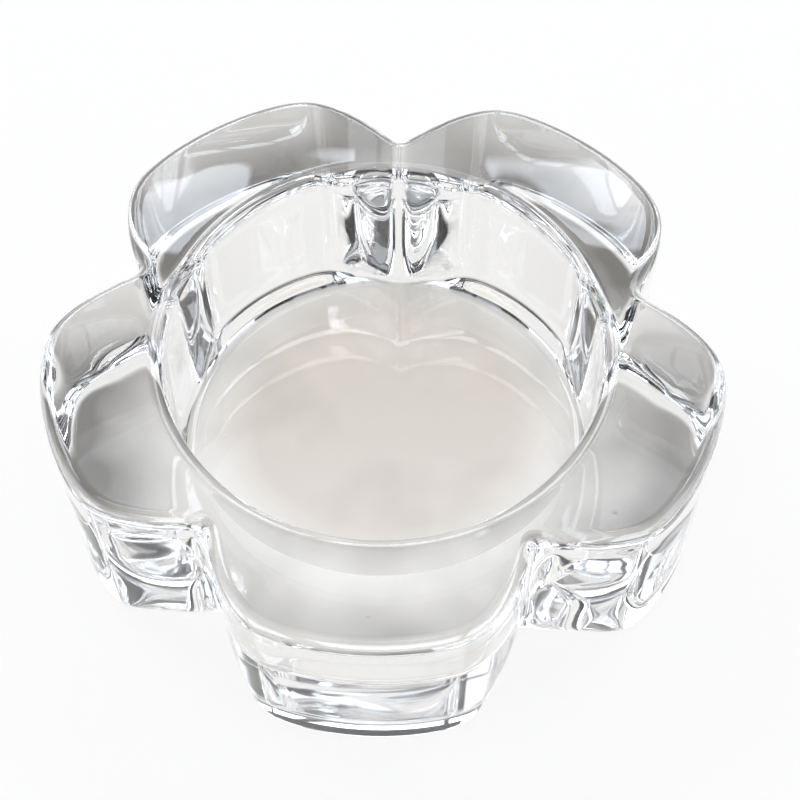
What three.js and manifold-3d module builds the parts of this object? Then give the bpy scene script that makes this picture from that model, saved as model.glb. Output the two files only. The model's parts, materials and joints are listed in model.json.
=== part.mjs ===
// A clear pressed-glass holder for one tealight: five rounded petals around a round, flat-floored well.
// Millimetres, +Z up. The origin is on the well's axis at the underside, and one petal points along -Y.
import * as THREE from "three";
import { mergeVertices } from "three/addons/utils/BufferGeometryUtils.js";
import Module from "manifold-3d";

// The well, from the tealight outwards
const tealightDiameter = 39; // the widest of the common tealight cups
const liftRoom = 3.4; // all round the cup, so that fingers can lift it out
const floorFillet = 1.3; // between the floor and the wall
const wallDraft = 1.2; // how far the wall leans out from the fillet to the rim
const rimRound = 2.0;
const wellDepth = 19.6;
const floorThickness = 5.2;

// The petals
const petalCount = 5;
const landWidth = 4.0; // the flat top between the rim and the root of a groove
const petalReach = 8.5; // how far a petal stands out past the root of a groove
const shoulderAt = 0.3; // where the end of a petal turns into its flank: 0 is the petal's middle
const shoulderSoftness = 0.137;
const grooveSoftness = 0.06; // 0 is a sharp groove, and larger values round its root
const petalDraft = 1.7; // how far the outer wall leans in from the top to the underside
const topRound = 1.8;
const footCurl = 1.3; // how far the outer wall curls in at its foot
const footRise = 1.5; // the height of that curl
const grooveFlare = 2.0; // how much further the flanks and grooves curl in at their foot
const flareRise = 8.0;
const flankFrom = 0.5; // the share of the fall from which the flare is full

const height = floorThickness + wellDepth;
const floorFlatRadius = tealightDiameter / 2 + liftRoom;
const wellRadius = floorFlatRadius + floorFillet + wallDraft;
const rimRadius = wellRadius + rimRound;
const grooveRadius = rimRadius + landWidth;
const tipRadius = grooveRadius + petalReach;

// The fineness of the facets
const stepsPerPetal = 28;
const footSteps = 4;
const flareSteps = 3;
const topSteps = 4;
const wellSides = 100;
const arcDivisions = 3;

const weldDistance = 1e-4; // points closer than this are one point
const slopeStep = 1e-4; // the angle over which the outline's slope is measured

const glassColour = "#dfe4e4";
const glassRoughness = 0.03;
const glassOpacity = 0.35;

// The petal rule: how far the outline has fallen at an angle from the middle of a petal.
// It is 0 along the flat end of the petal and drops evenly down its flank to 1 in the groove.
const bend = (place) => {
  const past = place - shoulderAt;
  return past + Math.hypot(past, shoulderSoftness);
};
const ridge = (angle) => {
  const swing = Math.cos((petalCount / 2) * angle);
  return Math.hypot(swing, grooveSoftness) / Math.hypot(1, grooveSoftness);
};
const grooveAngle = Math.PI / petalCount;
const bendDepth = bend(1 - ridge(grooveAngle)) - bend(0);
const fall = (angle) => (bend(1 - ridge(angle)) - bend(0)) / bendDepth;

// The outline seen from above at one height, set in along its own normal.
// The flare widens the grooves towards the underside and leaves the ends of the petals as they are.
function petalRing(inset, z) {
  const lean = petalDraft * (1 - z / height);
  const low = Math.max(0, 1 - z / flareRise);
  const flare = grooveFlare * (1 - Math.sqrt(1 - low * low));
  const radiusAt = (angle) => tipRadius - lean - petalReach * fall(angle);
  const ring = [];
  for (let petal = 0; petal < petalCount; petal++) {
    const middle = -Math.PI / 2 + petal * 2 * grooveAngle;
    for (let step = 0; step < stepsPerPetal; step++) {
      const along = (2 * step) / stepsPerPetal - 1;
      const crowded = Math.sin((along * Math.PI) / 2);
      const angle = (grooveAngle * (along + crowded)) / 2;
      const radius = radiusAt(angle);
      const slope = (radiusAt(angle + slopeStep) - radiusAt(angle - slopeStep)) / (2 * slopeStep);
      const normal = new THREE.Vector2(radius, -slope).normalize();
      const setIn = inset + flare * THREE.MathUtils.smoothstep(fall(angle), 0, flankFrom);
      const point = new THREE.Vector2(radius - setIn * normal.x, -setIn * normal.y);
      point.rotateAround(new THREE.Vector2(), middle + angle);
      ring.push(new THREE.Vector3(point.x, point.y, z));
    }
  }
  return ring;
}

// The solid block of petals: rings from the foot to the rounded top edge, closed at both ends.
function petalBlock() {
  const rings = [];
  for (let step = 0; step <= footSteps; step++) {
    const turn = ((step / footSteps) * Math.PI) / 2;
    rings.push(petalRing(footCurl * (1 - Math.sin(turn)), footRise * (1 - Math.cos(turn))));
  }
  for (let step = 1; step <= flareSteps; step++) {
    rings.push(petalRing(0, footRise + ((flareRise - footRise) * step) / flareSteps));
  }
  for (let step = 0; step <= topSteps; step++) {
    const turn = ((step / topSteps) * Math.PI) / 2;
    rings.push(petalRing(topRound * (1 - Math.cos(turn)), height - topRound * (1 - Math.sin(turn))));
  }
  const around = petalCount * stepsPerPetal;
  const points = [...rings.flat(), new THREE.Vector3(0, 0, 0), new THREE.Vector3(0, 0, height)];
  const bottomMiddle = points.length - 2;
  const topMiddle = points.length - 1;
  const topStart = (rings.length - 1) * around;
  const faces = [];
  for (let here = 0; here < around; here++) {
    const next = (here + 1) % around;
    faces.push(bottomMiddle, next, here);
    faces.push(topMiddle, topStart + here, topStart + next);
    for (let start = 0; start < topStart; start += around) {
      faces.push(start + here, start + next, start + around + next);
      faces.push(start + here, start + around + next, start + around + here);
    }
  }
  const block = new THREE.BufferGeometry().setFromPoints(points);
  block.setIndex(faces);
  return block;
}

// The space of the well, from its floor to past the top, with the rim's rounding as a flare.
function wellSpace() {
  const filletMiddle = floorThickness + floorFillet;
  const rimMiddle = height - rimRound;
  const pastTop = height + rimRound;
  const profile = new THREE.Path();
  profile.moveTo(0, floorThickness);
  profile.lineTo(floorFlatRadius, floorThickness);
  profile.absarc(floorFlatRadius, filletMiddle, floorFillet, -Math.PI / 2, 0, false);
  profile.lineTo(wellRadius, rimMiddle);
  profile.absarc(rimRadius, rimMiddle, rimRound, Math.PI, Math.PI / 2, true);
  profile.lineTo(rimRadius, pastTop);
  profile.lineTo(0, pastTop);
  const space = new THREE.LatheGeometry(profile.getPoints(arcDivisions), wellSides);
  return space.rotateX(Math.PI / 2);
}

const wasm = await Module();
wasm.setup();

// A closed geometry as a solid that can be cut.
function solidOf(geometry) {
  const bare = geometry.clone();
  bare.deleteAttribute("normal");
  bare.deleteAttribute("uv");
  const merged = mergeVertices(bare, weldDistance);
  const surface = new wasm.Mesh({
    numProp: 3,
    vertProperties: merged.getAttribute("position").array,
    triVerts: new Uint32Array(merged.index.array),
  });
  return new wasm.Manifold(surface);
}

function geometryOf(solid) {
  const cut = solid.getMesh();
  const geometry = new THREE.BufferGeometry();
  geometry.setAttribute("position", new THREE.BufferAttribute(cut.vertProperties, 3));
  geometry.setIndex(new THREE.BufferAttribute(cut.triVerts, 1));
  geometry.computeVertexNormals();
  return geometry;
}

const clearGlass = new THREE.MeshStandardMaterial({
  color: glassColour,
  roughness: glassRoughness,
  metalness: 0,
  transparent: true,
  opacity: glassOpacity,
});

const holder = new THREE.Group();
const glassBody = new THREE.Mesh(
  geometryOf(solidOf(petalBlock()).subtract(solidOf(wellSpace()))),
  clearGlass,
);
glassBody.name = "glass_body";
holder.add(glassBody);

export default holder;
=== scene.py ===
import json
import math

import bpy
from mathutils import Matrix, Vector

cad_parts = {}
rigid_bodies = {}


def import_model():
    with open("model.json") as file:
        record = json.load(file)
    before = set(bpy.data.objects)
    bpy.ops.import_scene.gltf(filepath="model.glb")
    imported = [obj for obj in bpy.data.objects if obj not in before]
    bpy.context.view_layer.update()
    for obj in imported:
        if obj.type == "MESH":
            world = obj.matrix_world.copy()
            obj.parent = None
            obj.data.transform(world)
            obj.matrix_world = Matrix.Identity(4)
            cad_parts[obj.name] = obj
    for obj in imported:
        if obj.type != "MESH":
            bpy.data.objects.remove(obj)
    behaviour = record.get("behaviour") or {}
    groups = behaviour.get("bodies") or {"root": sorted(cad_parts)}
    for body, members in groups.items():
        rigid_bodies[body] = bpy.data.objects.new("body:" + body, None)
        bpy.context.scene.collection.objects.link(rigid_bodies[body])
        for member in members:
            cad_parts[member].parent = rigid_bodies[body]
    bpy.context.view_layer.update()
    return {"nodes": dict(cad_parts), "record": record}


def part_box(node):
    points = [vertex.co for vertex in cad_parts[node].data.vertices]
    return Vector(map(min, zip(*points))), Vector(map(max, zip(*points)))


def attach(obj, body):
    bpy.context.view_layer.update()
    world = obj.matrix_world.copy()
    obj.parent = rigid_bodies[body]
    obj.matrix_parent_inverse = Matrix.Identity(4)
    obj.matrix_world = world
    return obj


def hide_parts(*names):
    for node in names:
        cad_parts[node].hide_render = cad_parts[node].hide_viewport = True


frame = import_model()
print("frame loaded:", sorted(frame["nodes"]))

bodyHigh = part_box("glass_body")[1]
mounts = {mount["name"]: mount for mount in frame["record"]["mounts"]}

mm = 0.001
holder = {
    "petalCount": 5,
    "height": bodyHigh.z,
    "tipRadius": 39.9 * mm,  # one petal points along -Y
    "petalReach": 8.5 * mm,  # how far a petal stands out past the root of a groove
    "shoulderAt": 0.3,  # where the end of a petal turns into its flank: 0 is its middle
    "shoulderSoftness": 0.137,
    "grooveSoftness": 0.06,  # 0 is a sharp groove
    "petalDraft": 1.7 * mm,  # how far the outer wall leans in from the top to the underside
    "topRound": 1.8 * mm,
    "footCurl": 1.3 * mm,  # how far the outer wall curls in at its foot
    "footRise": 1.5 * mm,  # the height of that curl
    "grooveFlare": 2.0 * mm,  # how much further the flanks and grooves curl in at their foot
    "flareRise": 8.0 * mm,
    "flankFrom": 0.5,  # the share of the fall from which the flare is full
    "floorThickness": mounts["tealight_seat"]["pos_m"][2],
    "floorFlatRadius": 22.9 * mm,
    "floorFillet": 1.3 * mm,
    "wallDraft": 1.2 * mm,
    "rimRound": 2.0 * mm,
    "stepsPerPetal": 110,
    "evenness": 0.35,  # 1 spreads the steps evenly, 0 crowds them into the grooves
    "weldDistance": 0.002 * mm,
}


class Term:
    # a number socket that takes plain arithmetic, so that a rule reads as a formula

    def __init__(self, tree, socket):
        self.tree = tree
        self.socket = socket

    def do(self, operation, *others):
        made = self.tree.nodes.new("ShaderNodeMath")
        made.operation = operation
        for socket, value in zip(made.inputs, (self,) + others):
            feed(self.tree, socket, value)
        return Term(self.tree, made.outputs[0])

    def __add__(self, other):
        return self.do("ADD", other)

    def __sub__(self, other):
        return self.do("SUBTRACT", other)

    def __mul__(self, other):
        return self.do("MULTIPLY", other)

    def __truediv__(self, other):
        return self.do("DIVIDE", other)

    def __rsub__(self, other):
        return self.do("MULTIPLY_ADD", -1, other)

    def __rtruediv__(self, other):
        return self.do("POWER", -1) * other

    def sin(self):
        return self.do("SINE")

    def cos(self):
        return self.do("COSINE")

    def root(self):
        return self.do("SQRT")

    def floor(self):
        return self.do("FLOOR")


def feed(tree, socket, value):
    if isinstance(value, Term):
        tree.links.new(value.socket, socket)
    elif isinstance(value, bpy.types.NodeSocket):
        tree.links.new(value, socket)
    else:
        socket.default_value = value


def addNode(tree, kind, values=None, **settings):
    made = tree.nodes.new(kind)
    for name, value in settings.items():
        setattr(made, name, value)
    for name, value in (values or {}).items():
        feed(tree, made.inputs[name], value)
    return made


def vectorOf(tree, x, y, z):
    return addNode(tree, "ShaderNodeCombineXYZ", {"X": x, "Y": y, "Z": z}).outputs[0]


def rampOf(tree, value, low, high):
    ramp = tree.nodes.new("ShaderNodeMapRange")
    ramp.interpolation_type = "SMOOTHSTEP"
    feed(tree, ramp.inputs["Value"], value)
    ramp.inputs["From Min"].default_value = low
    ramp.inputs["From Max"].default_value = high
    return Term(tree, ramp.outputs["Result"])


def bandOf(tree, value, low, high, soft):
    return rampOf(tree, value, low, low + soft) * (1 - rampOf(tree, value, high - soft, high))


def mixOf(tree, share, first, second):
    mix = tree.nodes.new("ShaderNodeMix")
    mix.data_type = "RGBA"
    feed(tree, mix.inputs["Factor"], share)
    colourSockets = mix.inputs[6:8]  # A and B, as colours
    for socket, colour in zip(colourSockets, (first, second)):
        feed(tree, socket, (*colour, 1) if isinstance(colour, tuple) else colour)
    return mix.outputs[2]


def noiseOf(tree, place, scale, detail):
    values = {"Vector": place.outputs["Object"], "Scale": scale, "Detail": detail}
    return Term(tree, addNode(tree, "ShaderNodeTexNoise", values).outputs[0])


def petalTree(material):
    tree = bpy.data.node_groups.new("petalHolder", "GeometryNodeTree")
    tree.interface.new_socket("Geometry", in_out="OUTPUT", socket_type="NodeSocketGeometry")
    for name, value in holder.items():
        kind = "NodeSocketInt" if isinstance(value, int) else "NodeSocketFloat"
        tree.interface.new_socket(name, in_out="INPUT", socket_type=kind)
    given = tree.nodes.new("NodeGroupInput")
    size = {name: Term(tree, given.outputs[name]) for name in holder}

    # each strip starts as a flat unit grid: x runs along the strip, y runs round the holder
    place = tree.nodes.new("GeometryNodeInputPosition")
    split = addNode(tree, "ShaderNodeSeparateXYZ", {"Vector": place.outputs[0]})
    along = Term(tree, split.outputs["X"]) + 0.5
    around = (Term(tree, split.outputs["Y"]) + 0.5) * size["petalCount"]

    # the petal rule
    grooveAngle = math.pi / size["petalCount"]
    petal = around.floor()
    swing = (around - petal) * 2 - 1
    crowded = (swing * (math.pi / 2)).sin()
    angle = grooveAngle * (swing * size["evenness"] + crowded * (1 - size["evenness"]))
    turn = angle + petal * grooveAngle * 2 - math.pi / 2
    half = size["petalCount"] * 0.5
    soft = size["grooveSoftness"] * size["grooveSoftness"]
    wave = (angle * half).cos()
    ridge = ((wave * wave + soft) / (soft + 1)).root()

    def bend(place):  # flat along the end of a petal, then an even slope down its flank
        past = place - size["shoulderAt"]
        curve = (past * past + size["shoulderSoftness"] * size["shoulderSoftness"]).root()
        return past + curve, (past + curve) / curve

    bent, bentSlope = bend(1 - ridge)
    bentStart = bend(soft * 0)[0]
    bentDepth = bend(1 - (soft / (soft + 1)).root())[0] - bentStart
    fall = (bent - bentStart) / bentDepth  # 0 at the end of a petal, 1 at the root of a groove
    ridgeSlope = half * 0.5 * (angle * size["petalCount"]).sin() / (ridge * (soft + 1))
    slope = bentSlope * ridgeSlope / bentDepth * size["petalReach"] * -1

    share = (fall / size["flankFrom"]).do("MINIMUM", 1)
    flank = share * share * (3 - share * 2)  # 0 along the end of a petal, 1 down its flank

    def petalPoint(inset, z):  # a point set in from the outline along its own normal
        lean = size["petalDraft"] * (1 - z / size["height"])
        radius = size["tipRadius"] - lean - size["petalReach"] * fall
        length = (radius * radius + slope * slope).root()
        low = (1 - z / size["flareRise"]).do("MAXIMUM", 0)
        flare = size["grooveFlare"] * (1 - (1 - low * low).root())
        inset = inset + flare * flank
        outward = radius - inset * radius / length
        sideways = inset * slope / length
        x = outward * turn.cos() - sideways * turn.sin()
        y = outward * turn.sin() + sideways * turn.cos()
        return x, y, z

    def roundPoint(distance, z):
        return distance * turn.cos(), distance * turn.sin(), z

    def mixed(start, end, share):
        return [first + (second - first) * share for first, second in zip(start, end)]

    quarter = along * (math.pi / 2)
    edge, rim, fillet = size["topRound"], size["rimRound"], size["floorFillet"]
    curl, rise = size["footCurl"], size["footRise"]
    height, floor = size["height"], size["floorThickness"]
    flat = size["floorFlatRadius"]
    wellFoot = flat + fillet
    wellRadius = wellFoot + size["wallDraft"]
    rimRadius = wellRadius + rim
    level = height * 0
    underEdge = petalPoint(curl, level)
    topEdge = petalPoint(edge, height)
    strips = {
        "underside": (8, mixed(roundPoint(level, level), underEdge, along)),
        "foot": (20, petalPoint(curl * (1 - quarter.sin()), rise * (1 - quarter.cos()))),
        "outer wall": (30, petalPoint(level, rise + (height - edge - rise) * along)),
        "top edge": (12, petalPoint(edge * (1 - quarter.cos()), height - edge * (1 - quarter.sin()))),
        "land": (18, mixed(topEdge, roundPoint(rimRadius, height), along)),
        "rim": (14, roundPoint(rimRadius - rim * quarter.sin(), height - rim * (1 - quarter.cos()))),
        "well wall": (
            14,
            mixed(
                roundPoint(wellRadius, height - rim),
                roundPoint(wellFoot, floor + fillet),
                along,
            ),
        ),
        "floor fillet": (
            14,
            roundPoint(flat + fillet * quarter.cos(), floor + fillet * (1 - quarter.sin())),
        ),
        "well floor": (12, roundPoint(flat * (1 - along), floor)),
    }
    join = tree.nodes.new("GeometryNodeJoinGeometry")
    for rows, point in strips.values():
        grid = addNode(
            tree,
            "GeometryNodeMeshGrid",
            {
                "Size X": 1.0,
                "Size Y": 1.0,
                "Vertices X": rows,
                "Vertices Y": size["petalCount"] * size["stepsPerPetal"] + 1,
            },
        )
        moved = addNode(
            tree,
            "GeometryNodeSetPosition",
            {"Geometry": grid.outputs["Mesh"], "Position": vectorOf(tree, *point)},
        )
        tree.links.new(moved.outputs[0], join.inputs[0])
    welded = addNode(
        tree,
        "GeometryNodeMergeByDistance",
        {"Geometry": join.outputs[0], "Distance": size["weldDistance"]},
    )
    outward = addNode(tree, "GeometryNodeFlipFaces", {"Mesh": welded.outputs[0]})
    smooth = addNode(tree, "GeometryNodeSetShadeSmooth", {"Geometry": outward.outputs[0]})
    real = addNode(tree, "GeometryNodeRealizeInstances", {"Geometry": smooth.outputs[0]})
    dressed = addNode(
        tree, "GeometryNodeSetMaterial", {"Geometry": real.outputs[0], "Material": material}
    )
    out = tree.nodes.new("NodeGroupOutput")
    tree.links.new(dressed.outputs[0], out.inputs[0])
    return tree


def glassBody(material):
    tree = petalTree(material)
    seed = bpy.data.objects.new("petalSeed", bpy.data.meshes.new("petalSeed"))
    bpy.context.scene.collection.objects.link(seed)
    modifier = seed.modifiers.new("petals", "NODES")
    modifier.node_group = tree
    for item in tree.interface.items_tree:
        if item.in_out == "INPUT":
            modifier[item.identifier] = holder[item.name]
    graph = bpy.context.evaluated_depsgraph_get()
    mesh = bpy.data.meshes.new_from_object(seed.evaluated_get(graph))
    seed.modifiers.remove(modifier)
    bpy.data.objects.remove(seed)
    mesh.name = "flowerGlass"
    piece = bpy.data.objects.new("flowerGlass", mesh)
    bpy.context.scene.collection.objects.link(piece)
    return piece


glassLook = {
    "tint": (0.93, 0.925, 0.91),
    "bend": 1.52,
    "depthTint": (0.52, 0.5, 0.46),  # the colour that thick glass turns to
    "depthDensity": 1.0,  # per metre
    "wellUnderShadeTint": (0.94, 0.92, 0.885),  # painted shade on the underside under the well, slight
    "petalUnderShadeTint": (0.08, 0.076, 0.07),  # painted shade on the underside under the petals, standing in for the shaded floor beneath them
    "wellTo": 17.5 * mm,
    "petalFrom": 37.0 * mm,
    "groundRough": 0.03,
    "groundFull": 0.03 * mm,  # up to this height the glass is fully ground and carries the painted shade
    "groundEnd": 0.3 * mm,
    "paintedFloorShade": (0.65, 0.58, 0.52),  # painted shade on the well floor, full over a disc a little behind its middle
    "floorMiddle": 3.0 * mm,
    "floorAbove": 0.6 * mm,
    "floorFrom": 15.0 * mm,
    "floorTo": 22.5 * mm,
    "blotchScale": 62.0,
    "blotchDetail": 2.0,
    "shadeBlotchShare": 1.1,  # how unevenly the painted shade under the glass falls
    "floorShadeUnevenness": 0.5,  # the share of that unevenness in the painted shade on the well floor
    "rippleScale": 70.0,
    "rippleDetail": 1.0,
    "rippleDepth": 0.006 * mm,
    "topRipple": 0.15 * mm,  # added on the top faces, which are fire-polished
    "topFrom": 21.0 * mm,
    "seedScale": 150.0,
    "seedRadius": 0.06,  # of a cell
    "seedShare": 0.2,  # of the cells
    "seedDepth": 0.03 * mm,
}


def clearGlass():
    material = bpy.data.materials.new("clearGlass")
    material.use_nodes = True
    tree = material.node_tree
    shader = tree.nodes["Principled BSDF"]
    shader.inputs["IOR"].default_value = glassLook["bend"]
    shader.inputs["Transmission Weight"].default_value = 1.0
    place = tree.nodes.new("ShaderNodeTexCoord")
    split = addNode(tree, "ShaderNodeSeparateXYZ", {"Vector": place.outputs["Object"]})
    across, deep, up = (Term(tree, split.outputs[name]) for name in "XYZ")
    # the underside is ground a little rough, and its colour is painted shade
    ground = 1 - rampOf(tree, up, glassLook["groundFull"], glassLook["groundEnd"])
    radius = (across * across + deep * deep).root()
    blotch = noiseOf(tree, place, glassLook["blotchScale"], glassLook["blotchDetail"])
    unevenShade = (blotch - 0.5) * glassLook["shadeBlotchShare"]
    # painted shade: darker under the petals than under the well, standing in for the shaded floor
    # beneath the glass
    petalShadeShare = rampOf(tree, radius, glassLook["wellTo"], glassLook["petalFrom"])
    paintedUnderShade = mixOf(tree, petalShadeShare + unevenShade, glassLook["wellUnderShadeTint"], glassLook["petalUnderShadeTint"])
    colour = mixOf(tree, ground, glassLook["tint"], paintedUnderShade)
    # painted shade on the well floor, standing in for the shaded table seen through it
    behind = deep - glassLook["floorMiddle"]
    off = (across * across + behind * behind).root()
    floorShadeShare = 1 - rampOf(tree, off, glassLook["floorFrom"], glassLook["floorTo"])
    floorShadeShare = floorShadeShare * rampOf(tree, up, glassLook["floorAbove"], holder["floorThickness"])
    floorShadeShare = floorShadeShare * (1 - unevenShade * glassLook["floorShadeUnevenness"])
    colour = mixOf(tree, floorShadeShare, colour, glassLook["paintedFloorShade"])
    tree.links.new(colour, shader.inputs["Base Color"])
    feed(tree, shader.inputs["Roughness"], ground * glassLook["groundRough"])
    ripple = noiseOf(tree, place, glassLook["rippleScale"], glassLook["rippleDetail"])
    cells = addNode(
        tree,
        "ShaderNodeTexVoronoi",
        {"Vector": place.outputs["Object"], "Scale": glassLook["seedScale"]},
    )
    chosen = addNode(tree, "ShaderNodeSeparateXYZ", {"Vector": cells.outputs["Color"]})
    spot = 1 - rampOf(tree, cells.outputs["Distance"], 0, glassLook["seedRadius"])
    few = Term(tree, chosen.outputs["X"]).do("LESS_THAN", glassLook["seedShare"])
    upper = rampOf(tree, up, glassLook["topFrom"], holder["height"])
    rippleHere = ripple * (upper * glassLook["topRipple"] + glassLook["rippleDepth"])
    height = rippleHere - spot * few * glassLook["seedDepth"]
    bump = addNode(tree, "ShaderNodeBump", {"Strength": 1.0, "Distance": 1.0, "Height": height})
    tree.links.new(bump.outputs[0], shader.inputs["Normal"])
    depth = tree.nodes.new("ShaderNodeVolumeAbsorption")
    depth.inputs["Color"].default_value = (*glassLook["depthTint"], 1)
    depth.inputs["Density"].default_value = glassLook["depthDensity"]
    tree.links.new(depth.outputs[0], tree.nodes["Material Output"].inputs["Volume"])
    return material


table = {
    "side": 2.0,
    "level": -0.05 * mm,  # a hair below the underside, so that the two faces don't meet
    "colour": (0.95, 0.92, 0.89),
    "roughness": 0.8,
    "glow": 0.88,  # the share of plain white that the eye sees, so that the sheet stays pale
}


def floorSheet():
    mesh = bpy.data.meshes.new("floorSheet")
    side, level = table["side"], table["level"]
    corners = [(-side, -side, level), (side, -side, level), (side, side, level), (-side, side, level)]
    mesh.from_pydata(corners, [], [(0, 1, 2, 3)])
    sheet = bpy.data.objects.new("floorSheet", mesh)
    bpy.context.scene.collection.objects.link(sheet)
    material = bpy.data.materials.new("paleFloor")
    material.use_nodes = True
    tree = material.node_tree
    shader = tree.nodes["Principled BSDF"]
    shader.inputs["Base Color"].default_value = (*table["colour"], 1)
    shader.inputs["Roughness"].default_value = table["roughness"]
    glow = addNode(tree, "ShaderNodeEmission", {"Color": (1, 1, 1, 1), "Strength": 1.0})
    path = tree.nodes.new("ShaderNodeLightPath")
    seen = Term(tree, path.outputs["Is Camera Ray"])
    seen = seen.do("MAXIMUM", path.outputs["Is Glossy Ray"])
    seen = seen.do("MAXIMUM", path.outputs["Is Transmission Ray"])
    both = addNode(tree, "ShaderNodeMixShader", {"Fac": seen * table["glow"]})
    tree.links.new(shader.outputs[0], both.inputs[1])
    tree.links.new(glow.outputs[0], both.inputs[2])
    tree.links.new(both.outputs[0], tree.nodes["Material Output"].inputs["Surface"])
    mesh.materials.append(material)


view = {
    "elevation": 55.85,
    "turn": 4.66,  # degrees round from the petal that points along -Y
    "roll": -1.21,
    "distance": 292.1 * mm,
    "lens": 110.01,
    "sensor": 36.0,
    "aimHeight": bodyHigh.z / 2,
    "aimPixel": (384.4, 405.3),
    "imageSide": 800,
}


def photoCamera():
    data = bpy.data.cameras.new("photoCamera")
    data.sensor_width = view["sensor"]
    data.lens = view["lens"]
    side = view["imageSide"]
    data.shift_x = (side / 2 - view["aimPixel"][0]) / side
    data.shift_y = (view["aimPixel"][1] - side / 2) / side
    camera = bpy.data.objects.new("photoCamera", data)
    bpy.context.scene.collection.objects.link(camera)
    rise = math.radians(view["elevation"])
    turn = math.radians(view["turn"])
    away = Vector((math.sin(turn) * math.cos(rise), -math.cos(turn) * math.cos(rise), math.sin(rise)))
    camera.location = Vector((0, 0, view["aimHeight"])) + away * view["distance"]
    aim = away.to_track_quat("Z", "Y").to_matrix()
    roll = Matrix.Rotation(math.radians(view["roll"]), 3, "Z")
    camera.rotation_euler = (aim @ roll).to_euler()
    bpy.context.scene.camera = camera


room = {
    "wall": (0.025, 0.025, 0.028),
    "ceiling": (1.15, 1.12, 1.08),
    "dark": (0.03, 0.03, 0.035),
    "ceilingFrom": 68,  # degrees above the floor
    "ceilingSoft": 6,
    "darkBelow": 9,
    "darkSoft": 3,
    "daylight": (0.9, 0.97, 1.08),
    "bar": 1.4,
    "panes": (
        # middle, width, foot, head, columns, rows, softness, strength
        # all in degrees, round from the back and up from the floor
        (-45, 40, 24, 54, 2, 2, 0.8, 6.5),
        (0, 50, 18, 38, 4, 1, 0.8, 4.5),
        (46, 40, 24, 52, 2, 2, 0.8, 4.8),
        (-4, 40, 53, 70, 1, 1, 6, 1.7),
        (-10.5, 9, 50.3, 51.8, 1, 1, 0.4, 7.0),
        (3.5, 7, 50.3, 51.6, 1, 1, 0.4, 6.0),
        (-106, 44, 12, 46, 2, 1, 0.8, 1.8),
        (104, 44, 12, 46, 2, 1, 0.8, 1.8),
        (160, 30, 28, 52, 1, 1, 0.8, 0.4),
        (-158, 30, 24, 48, 1, 1, 0.8, 0.4),
    ),
}


def roomLight():
    world = bpy.data.worlds.new("room")
    bpy.context.scene.world = world
    world.use_nodes = True
    tree = world.node_tree
    look = addNode(tree, "ShaderNodeSeparateXYZ", {
        "Vector": tree.nodes.new("ShaderNodeTexCoord").outputs["Generated"],
    })
    x, y, z = (Term(tree, look.outputs[name]) for name in "XYZ")
    azimuth = x.do("ARCTAN2", y) * (180 / math.pi)
    rise = z.do("ARCSINE") * (180 / math.pi)
    soft = room["ceilingSoft"]
    upper = rampOf(tree, rise, room["ceilingFrom"] - soft, room["ceilingFrom"] + soft)
    colour = mixOf(tree, upper, room["wall"], room["ceiling"])
    soft = room["darkSoft"]
    low = 1 - rampOf(tree, rise, room["darkBelow"] - soft, room["darkBelow"] + soft)
    colour = mixOf(tree, low, colour, room["dark"])
    for middle, width, foot, head, columns, rows, soft, strength in room["panes"]:
        turned = (azimuth - middle + 180).do("FLOORED_MODULO", 360) - 180
        daylight = tuple(strength * part for part in room["daylight"])
        paneWidth = (width + room["bar"]) / columns
        paneHeight = (head - foot + room["bar"]) / rows
        for column in range(columns):
            left = column * paneWidth - width / 2
            across = bandOf(tree, turned, left, left + paneWidth - room["bar"], soft)
            for row in range(rows):
                low = foot + row * paneHeight
                pane = across * bandOf(tree, rise, low, low + paneHeight - room["bar"], soft)
                colour = mixOf(tree, pane, colour, daylight)
    tree.links.new(colour, tree.nodes["Background"].inputs["Color"])


glass = clearGlass()
piece = glassBody(glass)
print("glass body:", len(piece.data.polygons), "faces")
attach(piece, "root")
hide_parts("glass_body")
floorSheet()
roomLight()
photoCamera()
bpy.context.scene.view_settings.view_transform = "Standard"
print("floor, room and camera in place")

bounces = 40  # inside the glass a ray meets many walls
light = bpy.context.scene.cycles
light.max_bounces = bounces
light.glossy_bounces = bounces
light.transmission_bounces = bounces
